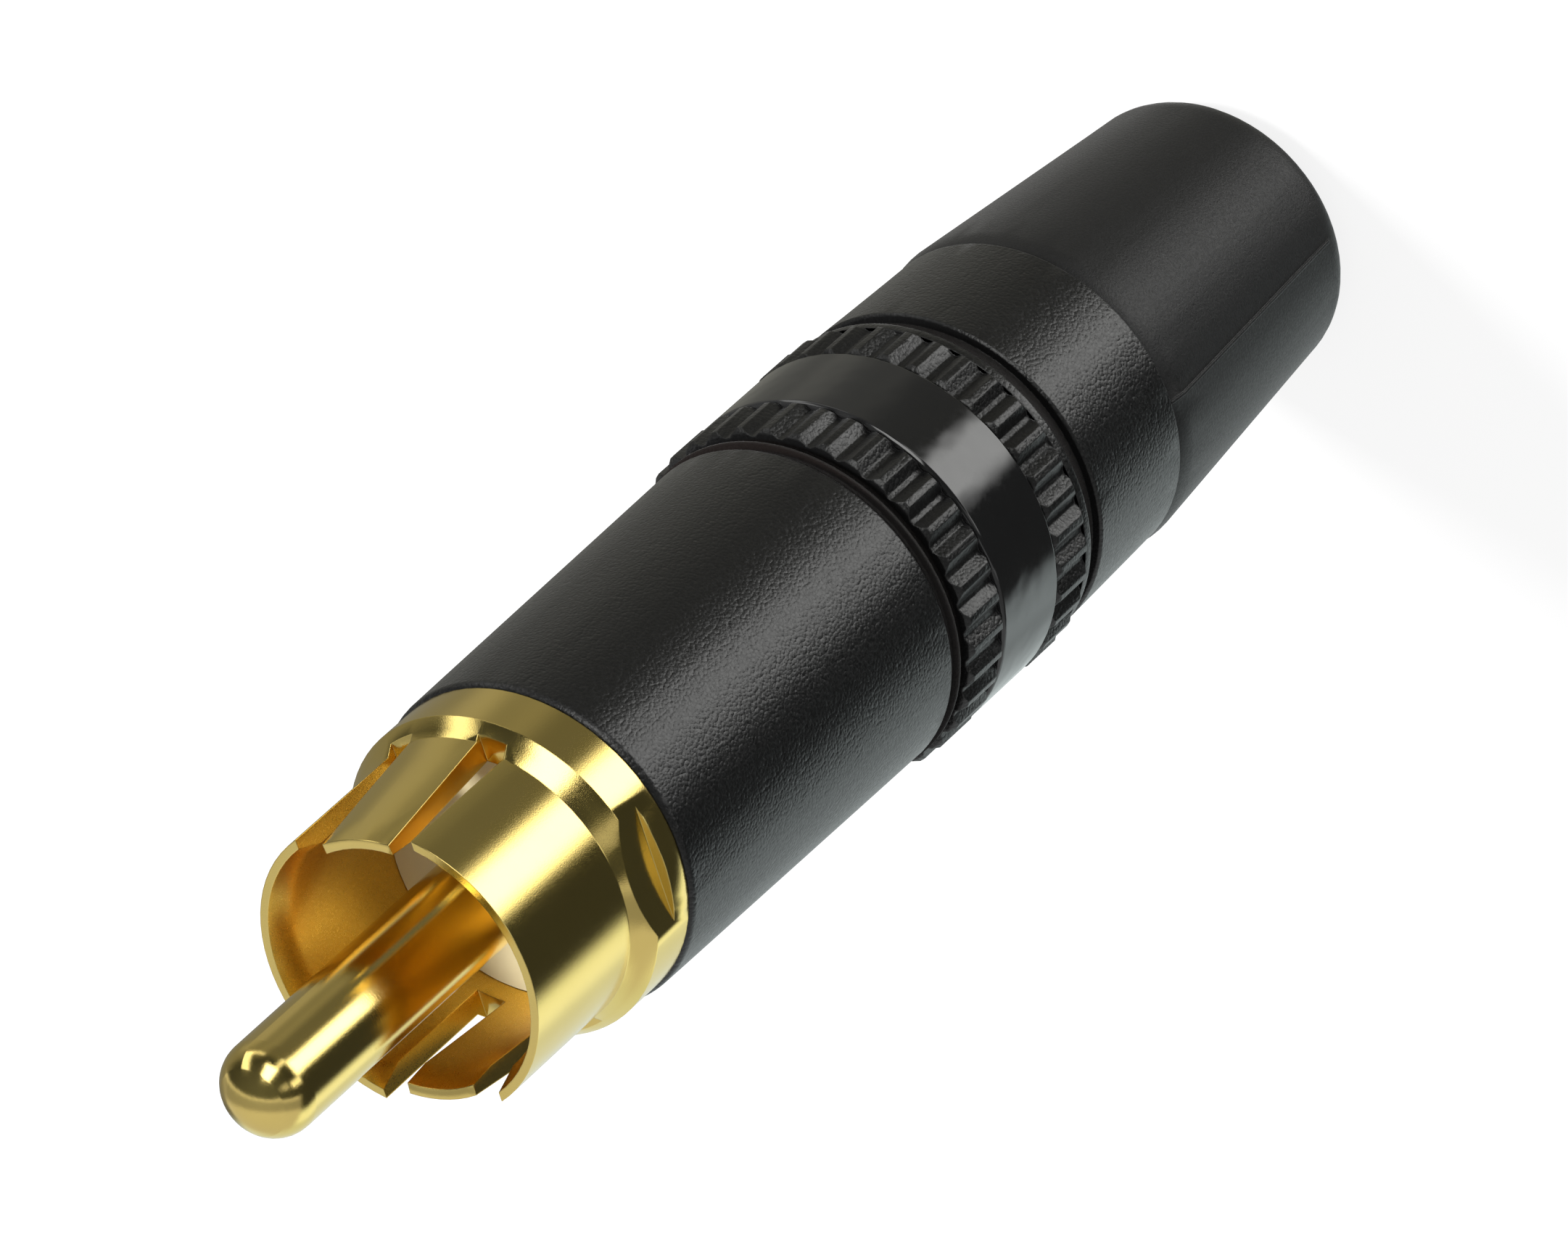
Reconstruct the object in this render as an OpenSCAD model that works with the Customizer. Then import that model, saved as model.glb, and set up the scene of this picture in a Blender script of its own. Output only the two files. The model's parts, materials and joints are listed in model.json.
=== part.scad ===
// Cable-mount RCA plug, standing on the rear end of its boot with the pin up.
// The plug's axis is +Z and z = 0 is the boot's rear face. Millimetres and degrees.
// The spring tongues of the shield ring point to +X and -X, its wrench flats to +Y and -Y.

/* [Centre pin] */
// Diameter of the pin
pin_d = 3.2; // [3:0.05:3.4]
// How far the pin stands out of the ring's mouth
pin_reach = 8.2; // [6:0.1:10]
// Radius of the dome on the pin's nose
pin_nose_r = 1.75; // [1.75:0.05:3]
// Radius that blends the dome into the pin's side
pin_shoulder_r = 1.3; // [0.6:0.1:1.4]
// Diameter of the pin's tail, from the insulator's face back
tail_d = 2.6; // [2.2:0.05:2.8]
// How far the tail runs out behind the threaded stub
tail_len = 7; // [5:0.5:9]
// Depth of the solder cup in the tail's end
cup_depth = 5; // [3:0.5:5]
// Wall of the solder cup
cup_wall = 0.35; // [0.25:0.05:0.5]

/* [Shield ring] */
// Outside diameter of the ring
ring_d = 10; // [9.6:0.05:10.4]
// Wall of the ring
ring_wall = 0.6; // [0.5:0.05:0.8]
// Length of the ring's straight tube
ring_len = 5; // [4:0.1:7]
// Width of the flat rim at the mouth
mouth_lip = 0.28; // [0.15:0.01:0.4]
// Length of the bevel inside the mouth
mouth_bevel = 1; // [0.5:0.1:1.5]
// Depth of the insulator's face below the mouth
socket_depth = 6.1; // [5.6:0.1:6.4]
// Width of each slot beside a tongue
slot_w = 0.95; // [0.6:0.05:1.2]
// How far the slots run on into the cone
slot_run = 0.35; // [0.2:0.05:0.5]
// Width of a spring tongue
tongue_w = 2.55; // [2:0.05:3.2]
// Wall of a spring tongue where its inside bevel starts
tongue_wall = 0.55; // [0.45:0.05:0.6]
// Width of the flat rim at a tongue's tip
tongue_lip = 0.34; // [0.2:0.01:0.4]
// How far into the cone the tongues start to bend
bend_run = 0.15; // [0.1:0.05:0.2]
// Angle at which the tongues are set inwards
tongue_bend = 7; // [2:0.5:8]

/* [Flange] */
// Diameter of the flange
flange_d = 11.15; // [10.8:0.05:11.3]
// Length of the cone between ring and flange
cone_len = 0.7; // [0.6:0.05:1.2]
// Length of the flange's round land
land_len = 1.7; // [1.5:0.05:2.5]
// Distance across the wrench flats
flats_across = 10.4; // [10.4:0.05:10.7]
// Full round rim left behind the flats
flat_rim = 0.8; // [0.5:0.05:1.2]

/* [Threaded stub] */
// Diameter of the stub
thread_d = 9.4; // [9.2:0.05:9.5]
// Pitch of the thread
thread_pitch = 0.75; // [0.5:0.25:1]
// Turns of thread in mesh
thread_turns = 6; // [4:1:7]
// Length of the plain relief between thread and flange
relief_len = 0.6; // [0.3:0.1:1]
// Depth of that relief
relief_depth = 0.35; // [0.2:0.05:0.5]

/* [Insulator and ground lug] */
// Diameter of the insulator's shank
insulator_d = 6.8; // [6.4:0.1:7]
// Thickness of the insulator's front disc
disc_t = 0.8; // [0.6:0.1:1]
// Thickness of the lug's sheet
lug_t = 0.5; // [0.3:0.05:0.6]
// Diameter of the lug's ring
lug_ring_d = 7.7; // [7.2:0.1:7.9]
// Hole in the lug's ring round the pin
lug_hole_d = 4.4; // [4:0.1:4.6]
// Width of the lug's tab
lug_w = 2.6; // [2:0.1:2.8]
// Distance from the axis to the tab's inner face
lug_offset = 2.25; // [2.2:0.05:2.3]
// Length of the tab behind the stub
lug_len = 10; // [7:0.5:12]
// Wire hole in the tab
wire_hole_d = 1.2; // [0.8:0.1:1.4]

/* [Shell] */
// Length of the shell
shell_len = 28.5; // [27:0.5:34]
// Diameter at the shell's front edge
front_d = 11.38; // [11.3:0.02:11.6]
// Diameter where the front section ends at the grip
front_end_d = 11.75; // [11.5:0.01:11.8]
// Diameter at the front of the rear section
rear_start_d = 11.9; // [11.7:0.02:12]
// Diameter at the shell's rear end
rear_end_d = 11.6; // [11.4:0.02:11.8]
// Length of the rear section
rear_len = 5.05; // [4:0.05:7]
// Rounding of the shell's front edge
front_round = 0.25; // [0.1:0.05:0.4]
// Rounding of the front section's edge at the grip
grip_round = 0.22; // [0.1:0.02:0.24]
// Bevel on the edges that border a groove
edge_bevel = 0.08; // [0.04:0.01:0.12]
// Diameter at the floor of the turned grooves
groove_d = 11.2; // [11:0.05:11.4]

/* [Grip] */
// Diameter over the knurl's teeth
grip_d = 12.32; // [12.25:0.01:12.5]
// Teeth round each knurled band
tooth_count = 36; // [24:1:48]
// Turn of the first tooth from +X
tooth_turn = 3.5; // [0:0.5:10]
// Depth of the teeth
tooth_depth = 0.26; // [0.15:0.01:0.3]
// Share of the pitch that is flat at a tooth's tip
tooth_tip = 0.21; // [0.1:0.01:0.3]
// Share of the pitch that is flat between two teeth
tooth_root = 0.16; // [0.1:0.01:0.3]
// Bevel on the ends of the teeth
tooth_bevel = 0.14; // [0.05:0.01:0.2]
// Length of the knurled band in front of the coding ring
front_band = 1.9; // [1.2:0.05:3]
// Length of the knurled band behind the coding ring
rear_band = 1.75; // [1.2:0.05:3]
// Diameter of the plain bead in front of the grip
bead_d = 11.84; // [11.7:0.02:12]
// Length of that bead
bead_len = 0.25; // [0.2:0.05:0.5]
// Groove between the front section and the bead
front_gap = 0.14; // [0.1:0.02:0.4]
// Groove between the bead and the teeth
band_gap = 0.26; // [0.1:0.02:0.4]
// Diameter of the plain collar behind the grip
collar_d = 12.06; // [11.95:0.01:12.15]
// Length of that collar
collar_len = 0.45; // [0.3:0.05:0.8]
// Rounding of the collar's rear edge
collar_round = 0.2; // [0.1:0.05:0.25]
// Groove between the collar and the rear section
rear_gap = 0.65; // [0.3:0.05:1]

/* [Coding ring] */
// Width of the coding ring
coding_w = 3.3; // [2:0.05:5]
// Outside diameter of the coding ring
coding_d = 12.24; // [12.1:0.01:12.3]
// Thickness of the coding ring
coding_t = 0.55; // [0.4:0.05:0.6]
// Rounding of the coding ring's edges
coding_edge = 0.1; // [0.05:0.01:0.15]

/* [Boot] */
// Length of the boot behind the shell
boot_len = 12.45; // [10:0.05:16]
// Diameter at the boot's front
boot_d = 11.7; // [11.5:0.05:11.9]
// Diameter at the boot's rear, were its edge sharp
boot_rear_d = 10; // [9.9:0.05:10.8]
// Rounding of the boot's rear edge
boot_round = 1.35; // [0.8:0.05:1.4]
// Length of the bevelled strip at the boot's front
strip_len = 0.7; // [0.3:0.05:1.2]
// Depth of the bevelled strip at its front edge
strip_depth = 0.1; // [0.04:0.02:0.16]
// Height of the mould parting ridges
parting_height = 0.06; // [0.02:0.01:0.08]
// Width of the mould parting ridges
parting_w = 0.12; // [0.08:0.01:0.2]
// Cable opening in the boot's rear end
cable_d = 6.4; // [5.8:0.1:6.8]
// Length of the cable opening
cable_len = 4; // [3:0.5:5]
// Step from the cable opening up to the chuck's seat
seat_step = 0.5; // [0.4:0.05:0.6]
// Length of the spigot inside the shell
spigot_len = 4; // [3:0.5:5]
// Wall of the spigot
spigot_wall = 0.5; // [0.4:0.05:0.6]

/* [Chuck] */
// Cable bore between the jaws
chuck_bore = 5.6; // [5:0.1:5.6]
// Height of the gripping ridges in the bore
ridge_height = 0.25; // [0.1:0.05:0.4]
// Gripping ridges in the bore
ridge_count = 4; // [2:1:6]
// Spacing of the gripping ridges
ridge_pitch = 1.6; // [1:0.1:1.6]
// Width of the cuts between the jaws
jaw_cut = 0.8; // [0.5:0.1:1.2]
// Length of the chuck's collar above the jaws
chuck_collar = 3; // [2:0.5:4]
// Length of the chuck's front ring
chuck_ring = 2.5; // [1.5:0.5:3]
// Inside diameter of the chuck's front ring and arms
chuck_inside = 7; // [6.6:0.1:7.2]
// Width of the side windows between the arms
window_w = 6; // [4:0.5:6.5]

/* [Fits] */
// Radial clearance of the thread
thread_fit = 0.05; // [0.02:0.01:0.1]
// Radial clearance of pressed and snapped pieces
press_fit = 0.02; // [0.01:0.01:0.04]
// Gap between faces that seat on each other
seat_gap = 0.02; // [0.01:0.01:0.05]
// Clearance round the loose chuck
loose_fit = 0.3; // [0.2:0.05:0.35]

/* [Hidden] */
$fn = 96;
// Overshoot of cutting tools past the faces they cut
over = 1;

pin_r = pin_d / 2;
tail_r = tail_d / 2;
ring_r = ring_d / 2;
ring_inside = ring_r - ring_wall;
flange_r = flange_d / 2;
thread_r = thread_d / 2;
insulator_r = insulator_d / 2;
lug_ring_r = lug_ring_d / 2;
bore_r = thread_r + thread_fit;
spigot_r = bore_r - press_fit;
cable_r = cable_d / 2;
collar_r = collar_d / 2;
bead_r = bead_d / 2;
groove_r = groove_d / 2;
grip_r = grip_d / 2;

// Heights of the boot and shell, from the rear face up
z_rear_groove = boot_len + rear_len;
z_collar = z_rear_groove + rear_gap;
z_rear_band = z_collar + collar_len;
z_coding = z_rear_band + rear_band;
z_front_band = z_coding + coding_w;
z_band_gap = z_front_band + front_band;
z_bead = z_band_gap + band_gap;
z_front_gap = z_bead + bead_len;
z_front = z_front_gap + front_gap;
z_seat = boot_len + shell_len;
z_spigot = boot_len + spigot_len;

// Heights of the insert, from its seat on the shell up and down
z_flange = z_seat + seat_gap;
z_land = z_flange + land_len;
z_tube = z_land + cone_len;
z_mouth = z_tube + ring_len;
z_tip = z_mouth + pin_reach;
z_face = z_mouth - socket_depth;
z_socket = z_face - disc_t;
z_slot = z_tube - slot_run;
z_bend = z_tube - bend_run;
z_room = z_tube - bend_run / 2;
tongue_r = ring_r + bend_run * (flange_r - ring_r) / cone_len;
z_stub = z_flange - relief_len - thread_turns * thread_pitch;
z_lug_seat = z_stub + lug_t + seat_gap;
z_pin = z_face + seat_gap;
z_tail_end = z_stub - tail_len;

// The chuck hangs in the boot's seat and bears on the stub from behind
seat_front_r = spigot_r - spigot_wall;
seat_rear_r = cable_r + seat_step;
z_jaw = cable_len + loose_fit;
z_chuck_collar = z_spigot + loose_fit;
z_arms = z_chuck_collar + chuck_collar;
z_chuck_ring = z_stub - loose_fit - chuck_ring;
z_chuck_top = z_stub - loose_fit;
chuck_r = bore_r - loose_fit;

// Keeps the half of a profile that lies outside the axis
module beside_axis(height) {
    intersection() {
        children();
        square([flange_d, height]);
    }
}

// Waste of a profile's corner rounded off; up is 1 for an upper corner and -1 for a lower one
module edge_waste(x, z, radius, up) {
    translate([x - radius, z - up * radius])
        difference() {
            translate([0, (up - 1) * radius])
                square(2 * radius);
            circle(radius);
        }
}

// Profile of the pin: tail, shank, blending shoulder and domed nose
module pin_profile() {
    shoulder_x = pin_r - pin_shoulder_r;
    dome_z = z_tip - pin_nose_r;
    shoulder_z = dome_z + sqrt(pow(pin_nose_r - pin_shoulder_r, 2) - pow(shoulder_x, 2));
    reach = 2 * pin_nose_r / (shoulder_z - dome_z);
    translate([0, z_tail_end])
        square([tail_r, z_pin - z_tail_end]);
    translate([0, z_pin])
        square([pin_r, shoulder_z - z_pin]);
    beside_axis(z_tip)
        translate([shoulder_x, shoulder_z])
            circle(pin_shoulder_r);
    intersection() {
        translate([0, dome_z])
            circle(pin_nose_r);
        polygon([
            [0, dome_z],
            [shoulder_x * reach, dome_z + (shoulder_z - dome_z) * reach],
            [0, dome_z + (shoulder_z - dome_z) * reach]
        ]);
    }
}

module center_pin() {
    cup_r = tail_r - cup_wall;
    color("gold")
    difference() {
        rotate_extrude()
            pin_profile();
        translate([0, 0, z_tail_end - over])
            cylinder(h = cup_depth + over, r = cup_r);
        // The cup is open on the side away from the lug
        translate([-tail_d, -tail_d - cup_r / 2, z_tail_end - over])
            cube([2 * tail_d, tail_d, cup_depth - cup_r + over]);
    }
}

module insulator() {
    color("ivory")
    rotate_extrude()
        polygon([
            [tail_r + press_fit, z_lug_seat + seat_gap],
            [insulator_r - press_fit, z_lug_seat + seat_gap],
            [insulator_r - press_fit, z_socket + seat_gap],
            [ring_inside - press_fit, z_socket + seat_gap],
            [ring_inside - press_fit, z_face],
            [tail_r + press_fit, z_face]
        ]);
}

// Sheet outline of the lug's tab: a strip with a round end and a wire hole
module lug_tab_outline() {
    difference() {
        union() {
            translate([-lug_w / 2, 0])
                square([lug_w, lug_len + lug_t]);
            circle(lug_w / 2);
        }
        circle(wire_hole_d / 2);
    }
}

module ground_lug() {
    color("gold") {
        difference() {
            translate([0, 0, z_stub])
                cylinder(h = lug_t, r = lug_ring_r - press_fit);
            translate([0, 0, z_stub - over])
                cylinder(h = lug_t + 2 * over, r = lug_hole_d / 2);
        }
        translate([0, lug_offset + lug_t, z_stub - lug_len])
            rotate([90, 0, 0])
                linear_extrude(lug_t)
                    lug_tab_outline();
    }
}

// Turned body of the shield contact, before slotting
module shield_turning() {
    rotate_extrude()
        polygon([
            [lug_ring_r, z_stub],
            [thread_r - relief_depth, z_stub],
            [thread_r, z_stub + relief_depth],
            [thread_r, z_flange - relief_len],
            [thread_r - relief_depth, z_flange - relief_len],
            [thread_r - relief_depth, z_flange],
            [flange_r, z_flange],
            [flange_r, z_land],
            [ring_r, z_tube],
            [ring_r, z_mouth],
            [ring_r - mouth_lip, z_mouth],
            [ring_inside, z_mouth - mouth_bevel],
            [ring_inside, z_socket],
            [insulator_r, z_socket],
            [insulator_r, z_lug_seat],
            [lug_ring_r, z_lug_seat]
        ]);
}

// Block on the +X side, of a given width and centred at a given Y, from height low past the mouth
module side_block(width, middle, low) {
    translate([pin_r, middle - width / 2, low])
        cube([flange_r, width, z_mouth - low + over]);
}

// Point of a bent tongue's profile: x off its outside, z along it from the bend
function bent(x, z) = [
    tongue_r + x * cos(tongue_bend) - z * sin(tongue_bend),
    z_bend + x * sin(tongue_bend) + z * cos(tongue_bend)
];

// One spring tongue, rooted in the cone and bent inwards, before the slots trim its sides
module tongue() {
    tongue_len = z_mouth - z_bend;
    root_len = 4 * bend_run;
    intersection() {
        rotate_extrude()
            polygon([
                bent(0, -root_len),
                bent(0, tongue_len),
                bent(-tongue_lip, tongue_len),
                bent(-tongue_wall, tongue_len - mouth_bevel),
                [ring_inside + press_fit, z_bend - root_len]
            ]);
        side_block(tongue_w + slot_w / 2, 0, z_bend - 2 * root_len);
    }
}

module shield_contact() {
    color("gold")
    difference() {
        union() {
            difference() {
                shield_turning();
                // Room for the bent tongues
                for (turn = [0, 180])
                    rotate([0, 0, turn])
                        side_block(tongue_w + slot_w, 0, z_room);
            }
            for (turn = [0, 180])
                rotate([0, 0, turn])
                    tongue();
        }
        // Slots beside the tongues
        for (turn = [0, 180])
            for (side = [-1, 1])
                rotate([0, 0, turn])
                    side_block(slot_w, side * (tongue_w + slot_w) / 2, z_slot);
        // Wrench flats
        for (turn = [0, 180])
            rotate([0, 0, turn])
                translate([-flange_r, flats_across / 2, z_flange + flat_rim])
                    cube([flange_d, flange_r, land_len + cone_len]);
    }
}

// Outline of a knurled band: straight teeth with flat tips and roots
module knurl_outline() {
    pitch = 360 / tooth_count;
    root_r = grip_r - tooth_depth;
    polygon([
        for (i = [0 : tooth_count - 1])
            for (edge = [
                [grip_r, -tooth_tip / 2],
                [grip_r, tooth_tip / 2],
                [root_r, (1 - tooth_root) / 2],
                [root_r, (1 + tooth_root) / 2]
            ])
                edge[0] * [cos(tooth_turn + (i + edge[1]) * pitch), sin(tooth_turn + (i + edge[1]) * pitch)]
    ]);
}

// A knurled band with bevelled tooth ends, from height low
module knurled_band(low, height) {
    intersection() {
        translate([0, 0, low])
            linear_extrude(height)
                difference() {
                    knurl_outline();
                    circle(groove_r - tooth_depth);
                }
        rotate_extrude()
            polygon([
                [0, low],
                [grip_r - tooth_bevel, low],
                [grip_r, low + tooth_bevel],
                [grip_r, low + height - tooth_bevel],
                [grip_r - tooth_bevel, low + height],
                [0, low + height]
            ]);
    }
}

// Turned body of the shell, with the knurled bands left at groove depth
module shell_turning() {
    coding_seat_r = coding_d / 2 - coding_t - press_fit;
    rotate_extrude()
        difference() {
            polygon([
                [bore_r, boot_len],
                [rear_end_d / 2, boot_len],
                [rear_start_d / 2, z_rear_groove - edge_bevel],
                [rear_start_d / 2 - edge_bevel, z_rear_groove],
                [groove_r, z_rear_groove],
                [groove_r, z_collar],
                [collar_r, z_collar],
                [collar_r, z_rear_band],
                [groove_r, z_rear_band],
                [groove_r, z_coding],
                [coding_seat_r, z_coding],
                [coding_seat_r, z_front_band],
                [groove_r, z_front_band],
                [groove_r, z_bead],
                [bead_r - edge_bevel, z_bead],
                [bead_r, z_bead + edge_bevel],
                [bead_r, z_front_gap - edge_bevel],
                [bead_r - edge_bevel, z_front_gap],
                [groove_r, z_front_gap],
                [groove_r, z_front],
                [front_end_d / 2, z_front],
                [front_d / 2, z_seat],
                [bore_r, z_seat]
            ]);
            edge_waste(front_d / 2, z_seat, front_round, 1);
            edge_waste(front_end_d / 2, z_front, grip_round, -1);
            edge_waste(collar_r, z_collar, collar_round, -1);
        }
}

module shell() {
    color("dimgray") {
        shell_turning();
        knurled_band(z_rear_band, rear_band);
        knurled_band(z_front_band, front_band);
    }
}

module coding_ring() {
    outer = coding_d / 2;
    low = z_coding + seat_gap;
    high = z_front_band - seat_gap;
    color("black")
    rotate_extrude()
        polygon([
            [outer - coding_t, low],
            [outer - coding_edge, low],
            [outer, low + coding_edge],
            [outer, high - coding_edge],
            [outer - coding_edge, high],
            [outer - coding_t, high]
        ]);
}

// Outside of the boot, larger by a given height for the parting ridges
module boot_outline(grow) {
    rear = boot_rear_d / 2 + grow;
    front = boot_d / 2 + grow;
    edge = boot_round + grow;
    z_strip = boot_len - strip_len;
    difference() {
        polygon([
            [0, 0],
            [rear, 0],
            [rear, boot_round],
            [front, z_strip],
            [front - strip_depth, boot_len - seat_gap],
            [0, boot_len - seat_gap]
        ]);
        edge_waste(rear, 0, edge, -1);
    }
}

// Bore of the boot: cable opening, then the conical seat of the chuck
module boot_bore() {
    rotate_extrude()
        polygon([
            [0, -over],
            [cable_r, -over],
            [cable_r, cable_len],
            [seat_rear_r, cable_len],
            [seat_front_r, boot_len],
            [seat_front_r, z_spigot + over],
            [0, z_spigot + over]
        ]);
}

module boot() {
    color("darkslategray")
    difference() {
        union() {
            rotate_extrude()
                boot_outline(0);
            intersection() {
                rotate_extrude()
                    boot_outline(parting_height);
                translate([-parting_w / 2, -boot_d, boot_round])
                    cube([parting_w, 2 * boot_d, boot_len]);
            }
            translate([0, 0, boot_round])
                cylinder(h = z_spigot - boot_round, r = spigot_r);
        }
        boot_bore();
    }
}

// Turned body of the chuck, before its cuts: jaws, collar, arms and front ring
module chuck_turning() {
    seat_slope = (seat_front_r - seat_rear_r) / (boot_len - cable_len);
    jaw_tip_r = seat_rear_r - loose_fit + seat_slope * (z_jaw - cable_len);
    jaw_top_r = seat_front_r - loose_fit;
    rotate_extrude()
        polygon([
            [chuck_bore / 2, z_jaw],
            [jaw_tip_r, z_jaw],
            [jaw_top_r, boot_len],
            [jaw_top_r, z_chuck_collar],
            [chuck_r, z_chuck_collar],
            [chuck_r, z_chuck_top],
            [chuck_inside / 2, z_chuck_top],
            [chuck_inside / 2, z_arms],
            [chuck_bore / 2, z_arms - chuck_collar / 2]
        ]);
}

// Ridges inside the jaws that bite into the cable's sheath
module chuck_ridges() {
    crest_share = 0.5;
    base_share = 0.75;
    for (i = [0 : ridge_count - 1])
        rotate_extrude()
            polygon([
                [chuck_bore / 2 + press_fit, z_jaw + i * ridge_pitch],
                [chuck_bore / 2 - ridge_height, z_jaw + (i + crest_share) * ridge_pitch],
                [chuck_bore / 2 + press_fit, z_jaw + (i + base_share) * ridge_pitch]
            ]);
}

module chuck() {
    color("whitesmoke")
    difference() {
        union() {
            chuck_turning();
            chuck_ridges();
        }
        // Two crossing cuts part the jaws
        for (turn = [0, 90])
            rotate([0, 0, turn])
                translate([-chuck_r - over, -jaw_cut / 2, z_jaw - over])
                    cube([2 * (chuck_r + over), jaw_cut, z_spigot - z_jaw + over]);
        // Windows that leave two arms between collar and front ring
        translate([-chuck_r - over, -window_w / 2, z_arms])
            cube([2 * (chuck_r + over), window_w, z_chuck_ring - z_arms]);
    }
}

boot();
shell();
coding_ring();
chuck();
shield_contact();
insulator();
center_pin();
ground_lug();
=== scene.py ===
"""Looks of a cable-mount RCA plug: finishes, edges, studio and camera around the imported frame."""
import json
import math

import bpy
from mathutils import Matrix, Vector


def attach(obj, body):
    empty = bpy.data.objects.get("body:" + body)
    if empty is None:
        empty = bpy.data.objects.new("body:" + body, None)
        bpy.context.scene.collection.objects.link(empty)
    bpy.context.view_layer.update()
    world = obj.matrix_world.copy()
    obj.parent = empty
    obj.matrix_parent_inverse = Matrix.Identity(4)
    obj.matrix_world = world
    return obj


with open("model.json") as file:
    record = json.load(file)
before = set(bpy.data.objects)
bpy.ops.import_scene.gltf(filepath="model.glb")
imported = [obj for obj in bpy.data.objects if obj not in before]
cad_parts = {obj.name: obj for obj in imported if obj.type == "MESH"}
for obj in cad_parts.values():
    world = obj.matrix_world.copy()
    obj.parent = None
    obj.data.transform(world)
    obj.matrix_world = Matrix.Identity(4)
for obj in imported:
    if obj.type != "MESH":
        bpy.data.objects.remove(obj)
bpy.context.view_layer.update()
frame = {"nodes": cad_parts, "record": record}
nodes = frame["nodes"]

MM = 0.001

# Camera, matched to the plug's outline in the photo. The photo's width and the focal length are in
# pixels, the sensor's width in millimetres and the angles in degrees.
IMAGE_W = 2162
FOCAL_PIXELS = 17836
SENSOR_W = 36
CAMERA_DISTANCE = 400 * MM
CAMERA_AZIMUTH = -57.8
CAMERA_TILT = 46.29
CAMERA_ROLL = -132.15
CAMERA_AIM_X = 0.206
CAMERA_AIM_Y = -0.215
AIM_HEIGHT = 29.57 * MM


# Shader building blocks

# Noise stays mostly between these two values
NOISE_LOW = 0.3
NOISE_HIGH = 0.7
EDGE_SAMPLES = 6


class Shader:
    """A node tree with short calls to add nodes and join them."""

    def __init__(self, tree):
        self.tree = tree
        tree.nodes.clear()

    def add(self, kind, values=None, **settings):
        """Adds a node; values sets sockets by name or number, from constants or other sockets."""
        node = self.tree.nodes.new(kind)
        for name, value in settings.items():
            setattr(node, name, value)
        for key, value in (values or {}).items():
            socket = node.inputs[key]
            if isinstance(value, bpy.types.NodeSocket):
                self.tree.links.new(value, socket)
            else:
                socket.default_value = value
        return node

    def math(self, operation, *values):
        node = self.add("ShaderNodeMath", dict(enumerate(values)), operation=operation)
        return node.outputs[0]

    def vector(self, operation, *values):
        node = self.add("ShaderNodeVectorMath", dict(enumerate(values)), operation=operation)
        return node.outputs["Vector"]

    def dot(self, first, second):
        node = self.add("ShaderNodeVectorMath", {0: first, 1: second}, operation="DOT_PRODUCT")
        return node.outputs["Value"]

    def scaled(self, vector, factor):
        node = self.add("ShaderNodeVectorMath", {0: vector, "Scale": factor}, operation="SCALE")
        return node.outputs["Vector"]

    def split(self, vector):
        """The outputs X, Y and Z of a vector."""
        return self.add("ShaderNodeSeparateXYZ", {0: vector}).outputs

    def remap(self, value, low, high, to_low=0.0, to_high=1.0):
        """Value mapped smoothly from one range to another and held at its ends."""
        node = self.add("ShaderNodeMapRange", {0: value, 1: low, 2: high, 3: to_low, 4: to_high},
                        interpolation_type="SMOOTHSTEP")
        return node.outputs[0]

    def noise(self, where, size, detail=2.0, roughness=0.5):
        """Noise from 0 to 1 whose grains are about size across."""
        node = self.add("ShaderNodeTexNoise",
                        {"Vector": where, "Scale": 1 / size, "Detail": detail, "Roughness": roughness})
        return node.outputs["Fac"]

    def domes(self, where, size):
        """Round domes size apart, 0 at their tops and falling below."""
        node = self.add("ShaderNodeTexVoronoi", {"Vector": where, "Scale": 1 / size}, feature="F1")
        return self.math("MULTIPLY", self.math("POWER", node.outputs["Distance"], 2.0), -1.0)

    def from_axis(self, where):
        """Distance from the plug's axis and height along it."""
        parts = self.split(where)
        square = self.math("ADD", self.math("POWER", parts["X"], 2.0), self.math("POWER", parts["Y"], 2.0))
        return self.math("SQRT", square), parts["Z"]

    def blend(self, factor, first, second):
        node = self.add("ShaderNodeMix", {"Factor": factor, 6: first, 7: second}, data_type="RGBA")
        return node.outputs[2]

    def soft_edges(self, radius):
        """Normal that turns smoothly across sharp edges."""
        return self.add("ShaderNodeBevel", {"Radius": radius}, samples=EDGE_SAMPLES).outputs[0]

    def bump(self, height, depth, below=None):
        """Normal from a height of 0 to 1 that stands for depth in metres."""
        values = {"Height": height, "Distance": depth, "Strength": 1.0}
        if below is not None:
            values["Normal"] = below
        return self.add("ShaderNodeBump", values).outputs["Normal"]


def new_material(name):
    """A material with an empty tree, its shader builder and the object coordinates."""
    material = bpy.data.materials.new(name)
    material.use_nodes = True
    shader = Shader(material.node_tree)
    where = shader.add("ShaderNodeTexCoord").outputs["Object"]
    return material, shader, where


def finish_material(shader, values):
    surface = shader.add("ShaderNodeBsdfPrincipled", values)
    shader.add("ShaderNodeOutputMaterial", {"Surface": surface.outputs["BSDF"]})


# Finishes

# How squarely a gold face looks away from the axis, and how level it lies, where the painted inner
# reflection tone and the extra dullness set in
OUTWARD_FADE = (0.45, 0.1)
LEVEL_FADE = (0.95, 0.8)


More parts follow.
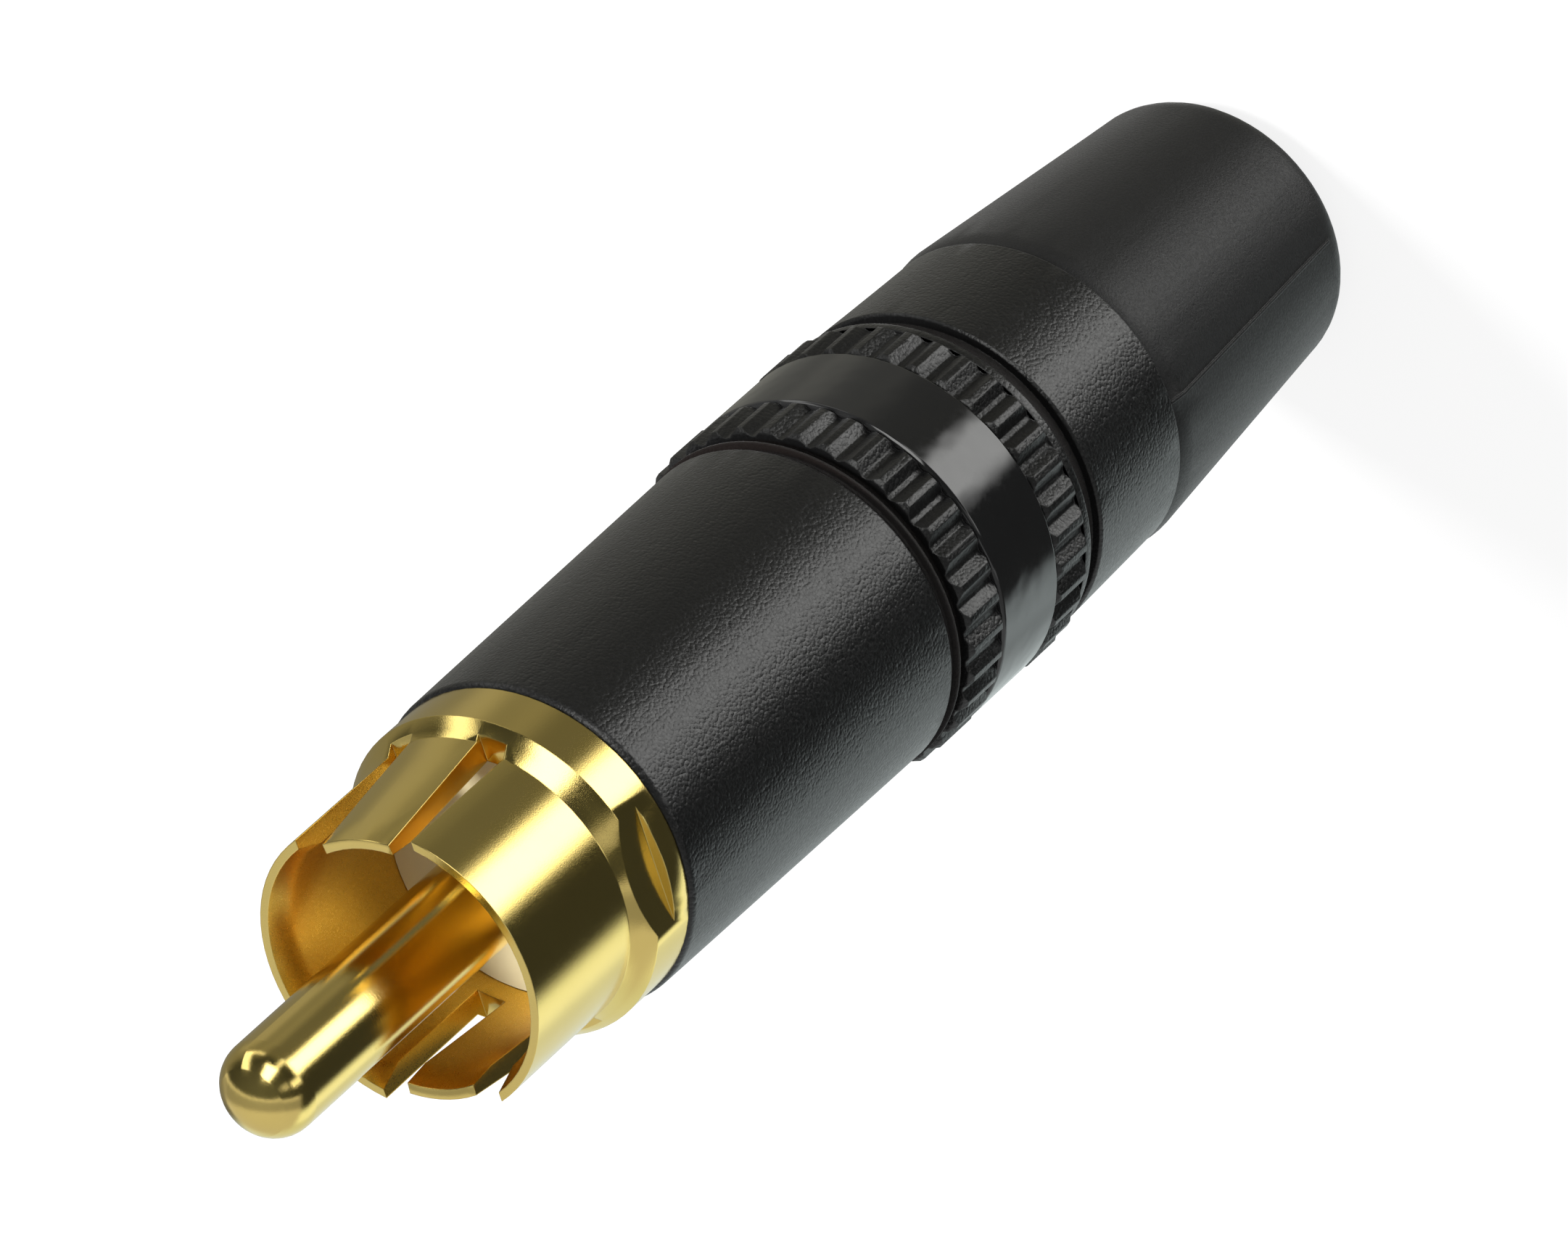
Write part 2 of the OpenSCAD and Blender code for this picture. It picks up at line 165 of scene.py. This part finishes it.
def inward_share(shader):
    """1 on faces that look towards the plug's axis or past it, 0 on outer and level ones."""
    geometry = shader.add("ShaderNodeNewGeometry").outputs
    outwards = shader.vector("NORMALIZE", shader.vector("MULTIPLY", geometry["Position"], (1, 1, 0)))
    facing = shader.dot(outwards, geometry["Normal"])
    level = shader.math("ABSOLUTE", shader.split(geometry["Normal"])["Z"])
    return shader.math("MULTIPLY", shader.remap(facing, *OUTWARD_FADE), shader.remap(level, *LEVEL_FADE))


def gold_plate():
    """Bright plating on turned metal, duller on faces that look inwards, which also carry a deeper orange
    tone: a painted reflection of the light bounced round inside the ring.
    """
    extra_dullness = 0.17
    material, shader, where = new_material("gold_plate")
    tone = shader.noise(where, 1.5 * MM, detail=3)
    grain = shader.noise(where, 0.045 * MM, detail=3, roughness=0.65)
    along_axis = shader.add("ShaderNodeCombineXYZ", {"Z": shader.split(where)["Z"]}).outputs[0]
    turning = shader.noise(along_axis, 0.05 * MM)
    inner = inward_share(shader)
    outside = shader.blend(tone, (0.82, 0.62, 0.195, 1), (0.87, 0.67, 0.225, 1))
    # Deeper orange for inward faces: a painted reflection of light bounced round inside the ring
    inside = shader.blend(tone, (0.78, 0.48, 0.075, 1), (0.84, 0.53, 0.095, 1))
    normal = shader.bump(grain, 0.002 * MM, below=shader.soft_edges(0.05 * MM))
    normal = shader.bump(turning, 0.0008 * MM, below=normal)
    finish_material(shader, {
        "Base Color": shader.blend(inner, outside, inside),
        "Metallic": 1.0,
        "Roughness": shader.math("ADD", shader.remap(grain, NOISE_LOW, NOISE_HIGH, 0.09, 0.17),
                                 shader.math("MULTIPLY", inner, extra_dullness)),
        "Normal": normal,
    })
    return material


# Heights between which the grip's grooves lie, and at which its front bead starts. Radii between which
# the paint turns from the grooves' dull to its full gloss, and a radius between the bead's and the teeth's.
GRIP_LOW = 17.5 * MM
GRIP_HIGH = 26.2 * MM
BEAD_LOW = 25.6 * MM
DULL_RADIUS = 5.66 * MM
GLOSS_RADIUS = 5.84 * MM
BEAD_RADIUS = 6.0 * MM


def sunk_share(shader, where):
    """1 in the grooves of the shell's grip and on its bead, 0 elsewhere."""
    radius, height = shader.from_axis(where)
    deep = shader.remap(radius, GLOSS_RADIUS, DULL_RADIUS)
    bead = shader.math("MULTIPLY", shader.math("GREATER_THAN", height, BEAD_LOW),
                       shader.math("LESS_THAN", radius, BEAD_RADIUS))
    grip = shader.math("MULTIPLY", shader.math("GREATER_THAN", height, GRIP_LOW),
                       shader.math("LESS_THAN", height, GRIP_HIGH))
    return shader.math("MULTIPLY", grip, shader.math("MAXIMUM", deep, bead))


def shell_paint():
    """Semi-gloss paint with a fine pebbled grain, dull and brownish in the grooves of the grip."""
    sunk_roughness = 0.75
    material, shader, where = new_material("shell_paint")
    pebbles = shader.domes(where, 0.12 * MM)
    grain = shader.noise(where, 0.1 * MM, roughness=0.6)
    patches = shader.noise(where, 2.5 * MM)
    sunk = sunk_share(shader, where)
    normal = shader.bump(grain, 0.011 * MM, below=shader.soft_edges(0.08 * MM))
    normal = shader.bump(pebbles, 0.011 * MM, below=normal)
    colour = shader.blend(patches, (0.0032, 0.0032, 0.0034, 1), (0.0045, 0.0045, 0.0045, 1))
    finish_material(shader, {
        "Base Color": shader.blend(sunk, colour, (0.0065, 0.0045, 0.004, 1)),
        "Roughness": shader.math("MAXIMUM", shader.remap(grain, NOISE_LOW, NOISE_HIGH, 0.29, 0.39),
                                 shader.math("MULTIPLY", sunk, sunk_roughness)),
        "Specular IOR Level": 0.55,
        "Sheen Weight": 0.08,
        "Sheen Roughness": 0.3,
        "Normal": normal,
    })
    return material


def ring_plastic():
    """Polished plastic with a slightly wavy face and faint scuffs."""
    scuff_high = 0.8
    material, shader, where = new_material("ring_plastic")
    waves = shader.noise(where, 1.2 * MM, detail=1)
    scuffs = shader.noise(where, 0.15 * MM, detail=3)
    finish_material(shader, {
        "Base Color": shader.blend(waves, (0.0125, 0.0125, 0.013, 1), (0.0155, 0.0155, 0.0155, 1)),
        "Roughness": shader.remap(scuffs, NOISE_LOW, scuff_high, 0.07, 0.15),
        "Specular IOR Level": 0.7,
        "Normal": shader.bump(waves, 0.03 * MM),
    })
    return material


def boot_plastic():
    """Matt moulded plastic with a very fine grain."""
    material, shader, where = new_material("boot_plastic")
    grain = shader.noise(where, 0.09 * MM, detail=3, roughness=0.6)
    patches = shader.noise(where, 2 * MM)
    finish_material(shader, {
        "Base Color": shader.blend(patches, (0.006, 0.006, 0.0064, 1), (0.008, 0.008, 0.008, 1)),
        "Roughness": shader.remap(grain, NOISE_LOW, NOISE_HIGH, 0.44, 0.54),
        "Specular IOR Level": 0.4,
        "Sheen Weight": 0.12,
        "Sheen Roughness": 0.3,
        "Normal": shader.bump(grain, 0.014 * MM),
    })
    return material


def pale_plastic(name, dark, light):
    """Pale moulded plastic with a faint grain."""
    material, shader, where = new_material(name)
    grain = shader.noise(where, 0.1 * MM)
    patches = shader.noise(where, 1.2 * MM)
    finish_material(shader, {
        "Base Color": shader.blend(patches, dark, light),
        "Roughness": shader.remap(grain, NOISE_LOW, NOISE_HIGH, 0.3, 0.42),
        "Normal": shader.bump(grain, 0.006 * MM),
    })
    return material


finishes = {
    "gold_plate": gold_plate(),
    "shell_paint": shell_paint(),
    "ring_plastic": ring_plastic(),
    "boot_plastic": boot_plastic(),
    "insulator_plastic": pale_plastic("insulator_plastic", (0.62, 0.54, 0.32, 1), (0.68, 0.60, 0.38, 1)),
    "chuck_plastic": pale_plastic("chuck_plastic", (0.55, 0.55, 0.53, 1), (0.62, 0.62, 0.60, 1)),
}
for row in frame["record"]["subparts"]:
    node = nodes[row["node"]]
    node.data.materials.clear()
    node.data.materials.append(finishes[row["material_slot"]])


# Edges of the solids, rounded by a little. Angles in degrees.

JOIN_REACH = 0.02 * MM
CUT_REACH = 0.004 * MM
FLAT_ANGLE = 0.3
EDGE_ANGLE = 25
EDGE_SEGMENTS = 2
# Width of the rounding, and whether it is held back where faces are narrow
ROUNDED = {
    "shell": (0.05 * MM, True),
    "shield_contact": (0.05 * MM, True),
    "boot": (0.03 * MM, False),
    "coding_ring": (0.05 * MM, False),
}


def join_faces(node, reach):
    """Joins the faces of a solid at their borders and closes slivers no wider than reach."""
    node.modifiers.new("join", "WELD").merge_threshold = reach


def round_edges(node, width, held):
    """Rounds the edges of a solid, held back where its faces are narrow when held is true, and shades it
    smoothly.
    """
    flat = node.modifiers.new("flat", "DECIMATE")
    flat.decimate_type = "DISSOLVE"
    flat.angle_limit = math.radians(FLAT_ANGLE)
    edge = node.modifiers.new("edge", "BEVEL")
    edge.width = width
    edge.segments = EDGE_SEGMENTS
    edge.limit_method = "ANGLE"
    edge.angle_limit = math.radians(EDGE_ANGLE)
    edge.use_clamp_overlap = held
    node.modifiers.new("shade", "WEIGHTED_NORMAL").keep_sharp = False


# Screw thread of the stub, which the solid leaves plain. Angle in degrees.

THREAD_PITCH = 0.75 * MM
THREAD_RADIUS = 4.7 * MM
THREAD_DEPTH = 0.34 * MM
THREAD_LOW = 35.5 * MM
THREAD_HIGH = 40.6 * MM
THREAD_HALF_ANGLE = 30
THREAD_STEPS = 72
CUTTER_OVER = 0.1 * MM


def thread_cutter():
    """A hidden right-handed coil whose sharp inner edge runs along the floor of the thread's groove."""
    inner = THREAD_RADIUS - THREAD_DEPTH
    outer = THREAD_RADIUS + CUTTER_OVER
    half = (outer - inner) * math.tan(math.radians(THREAD_HALF_ANGLE))
    corners = ((inner, 0), (outer, -half), (outer, half))
    sides = len(corners)
    count = round((THREAD_HIGH - THREAD_LOW) / THREAD_PITCH * THREAD_STEPS)
    points = []
    for i in range(count + 1):
        turn = 2 * math.pi * i / THREAD_STEPS
        rise = THREAD_LOW + THREAD_PITCH * i / THREAD_STEPS
        for radius, lift in corners:
            points.append((radius * math.cos(turn), radius * math.sin(turn), rise + lift))
    faces = []
    for i in range(count):
        for j in range(sides):
            a = sides * i + j
            b = sides * i + (j + 1) % sides
            faces.append((a, a + sides, b + sides, b))
    last = sides * count
    faces.append((0, 1, 2))
    faces.append((last, last + 2, last + 1))
    mesh = bpy.data.meshes.new("thread_cutter")
    mesh.from_pydata(points, [], faces)
    cutter = bpy.data.objects.new("thread_cutter", mesh)
    bpy.context.scene.collection.objects.link(cutter)
    cutter.hide_render = True
    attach(cutter, "insert")
    return cutter


def cut_thread(node):
    cut = node.modifiers.new("thread", "BOOLEAN")
    cut.operation = "DIFFERENCE"
    cut.solver = "EXACT"
    cut.object = thread_cutter()


for name, (width, held) in ROUNDED.items():
    join_faces(nodes[name], JOIN_REACH)
    if name == "shield_contact":
        cut_thread(nodes[name])
        join_faces(nodes[name], CUT_REACH)
    round_edges(nodes[name], width, held)


# Studio. Reflections see a room of soft panels; everything else is lit plainly.

WHITE = (1.0, 1.0, 0.98)
GREY = (0.95, 1.0, 0.95)
WARM = (1.0, 0.97, 0.82)
COOL = (0.93, 1.03, 1.02)
# Azimuth, elevation, half width, half height and edge softness in degrees, then brightness and tint
PANELS = [
    (-59.5, -44, 16, 30, 8, 3.6, WHITE),
    (-28, 38, 14, 22, 3, 4.0, WHITE),
    (-82, 30, 7, 10, 4, 0.5, WHITE),
    (-37, 0, 4, 16, 3, 1.4, WHITE),
    (-85, -2, 6, 15, 3, 1.5, WHITE),
    (31, 17, 7, 23, 3, 1.7, WHITE),
    (14, -5, 14, 4, 2, 0.8, WHITE),
    (60, -40, 58, 45, 12, 0.2, WARM),
    (45, -44, 12, 30, 8, 0.14, WARM),
    (-18, -44, 26, 40, 10, 0.11, WARM),
    (170, -34, 46, 34, 8, 0.78, COOL),
    (-160, -34, 12, 34, 8, 0.36, COOL),
]
# Brightness of the room level with the plug and straight above it, and of the plain light
ROOM_SIDE = 0.045
ROOM_TOP = 0.12
PLAIN_LIGHT = 0.75
# The pale table on which the plug lies in the photo, as its reflections show it: the way down to it,
# where its far edge shows along that way, and its brightness far off, near by and on its rim
TABLE_DOWN = (-0.961, 0.273, 0.05)
TABLE_EDGE = 0.113
TABLE_FAR = 0.28
TABLE_NEAR = 0.6
TABLE_RIM = 0.45
# Depths past the table's edge over which far turns to near, the rim fades out and the edge itself blurs,
# and elevations over which the table comes in
TABLE_TURN = (0.35, 0.5)
TABLE_RIM_FADE = (0.12, 0.04)
TABLE_BLUR = (-0.01, 0.01)
TABLE_RISE = (-8, 8)


def table_light(shader, direction, elevation):
    """Brightness of the table in a direction."""
    depth = shader.math("SUBTRACT", shader.dot(direction, TABLE_DOWN), TABLE_EDGE)
    light = shader.remap(depth, *TABLE_TURN, TABLE_FAR, TABLE_NEAR)
    light = shader.math("ADD", light, shader.remap(depth, *TABLE_RIM_FADE, 0, TABLE_RIM))
    light = shader.math("MULTIPLY", light, shader.remap(depth, *TABLE_BLUR))
    return shader.math("MULTIPLY", light, shader.remap(elevation, *TABLE_RISE))


def panel_light(shader, direction, elevation, panel):
    """Colour of a soft panel in a direction."""
    azimuth, middle, half_w, half_h, soft, brightness, tint = panel
    spin = (0, 0, -math.radians(azimuth))
    turned = shader.add("ShaderNodeMapping", {"Vector": direction, "Rotation": spin}, vector_type="POINT")
    flat = shader.split(turned.outputs[0])
    across = shader.math("ARCTAN2", flat["Y"], flat["X"])
    across = shader.math("DEGREES", shader.math("ABSOLUTE", across))
    up = shader.math("ABSOLUTE", shader.math("SUBTRACT", elevation, middle))
    inside = shader.math(
        "MULTIPLY",
        shader.remap(across, half_w + soft, half_w - soft),
        shader.remap(up, half_h + soft, half_h - soft),
    )
    return shader.scaled(tint, shader.math("MULTIPLY", inside, brightness))


def build_world():
    """Panels and table for reflections, plain light for the rest, and white for the camera."""
    world = bpy.data.worlds.new("studio")
    bpy.context.scene.world = world
    world.use_nodes = True
    shader = Shader(world.node_tree)
    direction = shader.add("ShaderNodeTexCoord").outputs["Generated"]
    elevation = shader.math("DEGREES", shader.math("ARCSINE", shader.split(direction)["Z"]))
    light = shader.scaled(GREY, shader.remap(elevation, 0, 90, ROOM_SIDE, ROOM_TOP))
    light = shader.vector("ADD", light, table_light(shader, direction, elevation))
    for panel in PANELS:
        light = shader.vector("ADD", light, panel_light(shader, direction, elevation, panel))
    room = shader.add("ShaderNodeBackground", {"Color": light, "Strength": 1.0}).outputs[0]
    plain = shader.add("ShaderNodeBackground", {"Color": (1, 1, 1, 1), "Strength": PLAIN_LIGHT}).outputs[0]
    white = shader.add("ShaderNodeBackground", {"Color": (1, 1, 1, 1), "Strength": 1.0}).outputs[0]
    rays = shader.add("ShaderNodeLightPath").outputs
    mirrored = shader.math("MAXIMUM", rays["Is Glossy Ray"], rays["Is Transmission Ray"])
    lit = shader.add("ShaderNodeMixShader", {0: mirrored, 1: plain, 2: room}).outputs[0]
    seen = shader.add("ShaderNodeMixShader", {0: rays["Is Camera Ray"], 1: lit, 2: white}).outputs[0]
    shader.add("ShaderNodeOutputWorld", {"Surface": seen})


FLOOR_HALF = 3.0
FLOOR_GAP = 0.01 * MM
# How much of the floor's look to the camera is plain white; the rest takes light and shadow
FLOOR_WHITE = 0.85


def build_floor():
    """A large floor just below the plug that shows white to the camera and keeps a soft shadow."""
    half = FLOOR_HALF
    corners = [(-half, -half), (half, -half), (half, half), (-half, half)]
    mesh = bpy.data.meshes.new("floor")
    mesh.from_pydata([(x, y, -FLOOR_GAP) for x, y in corners], [], [(0, 1, 2, 3)])
    floor = bpy.data.objects.new("floor", mesh)
    bpy.context.scene.collection.objects.link(floor)
    material = bpy.data.materials.new("floor")
    material.use_nodes = True
    shader = Shader(material.node_tree)
    rays = shader.add("ShaderNodeLightPath").outputs
    matt = shader.add("ShaderNodeBsdfDiffuse", {"Color": (0.9, 0.9, 0.9, 1)}).outputs[0]
    white = shader.add("ShaderNodeEmission", {"Color": (1, 1, 1, 1), "Strength": 1.0}).outputs[0]
    share = shader.math("MULTIPLY", rays["Is Camera Ray"], FLOOR_WHITE)
    mixed = shader.add("ShaderNodeMixShader", {0: share, 1: matt, 2: white}).outputs[0]
    shader.add("ShaderNodeOutputMaterial", {"Surface": mixed})
    mesh.materials.append(material)
    floor.visible_glossy = False
    floor.visible_diffuse = False


# Angles in degrees, distance and size in metres, power in watts
LAMP_AZIMUTH = 45
LAMP_ELEVATION = 52
LAMP_DISTANCE = 0.6
LAMP_SIZE = 0.2
LAMP_POWER = 7.5


def build_lamp():
    """A square lamp aimed at the plug, for plain light in the ring and the floor's soft shadow."""
    lamp = bpy.data.lights.new("key", "AREA")
    lamp.size = LAMP_SIZE
    lamp.energy = LAMP_POWER
    holder = bpy.data.objects.new("key", lamp)
    bpy.context.scene.collection.objects.link(holder)
    a = math.radians(LAMP_AZIMUTH)
    e = math.radians(LAMP_ELEVATION)
    away = Vector((math.cos(e) * math.cos(a), math.cos(e) * math.sin(a), math.sin(e)))
    holder.location = Vector((0, 0, AIM_HEIGHT)) + away * LAMP_DISTANCE
    holder.rotation_mode = "QUATERNION"
    holder.rotation_quaternion = away.to_track_quat("Z", "Y")
    holder.visible_glossy = False
    holder.visible_camera = False


def turned_by(degrees, axis):
    return Matrix.Rotation(math.radians(degrees), 4, axis)


def build_camera():
    """The photo's camera: swung round and tilted towards the plug, then rolled and aimed finely."""
    data = bpy.data.cameras.new("camera")
    data.sensor_width = SENSOR_W
    data.lens = FOCAL_PIXELS * SENSOR_W / IMAGE_W
    data.clip_start = CAMERA_DISTANCE / 10
    camera = bpy.data.objects.new("camera", data)
    bpy.context.scene.collection.objects.link(camera)
    facing = turned_by(CAMERA_AZIMUTH + 90, "Z") @ turned_by(CAMERA_TILT, "X")
    place = Vector((0, 0, AIM_HEIGHT)) + facing.to_3x3() @ Vector((0, 0, CAMERA_DISTANCE))
    aim = turned_by(CAMERA_AIM_Y, "Y") @ turned_by(CAMERA_AIM_X, "X")
    camera.matrix_world = Matrix.Translation(place) @ facing @ turned_by(CAMERA_ROLL, "Z") @ aim
    bpy.context.scene.camera = camera


build_world()
build_floor()
build_lamp()
build_camera()
bpy.context.scene.view_settings.view_transform = "Standard"
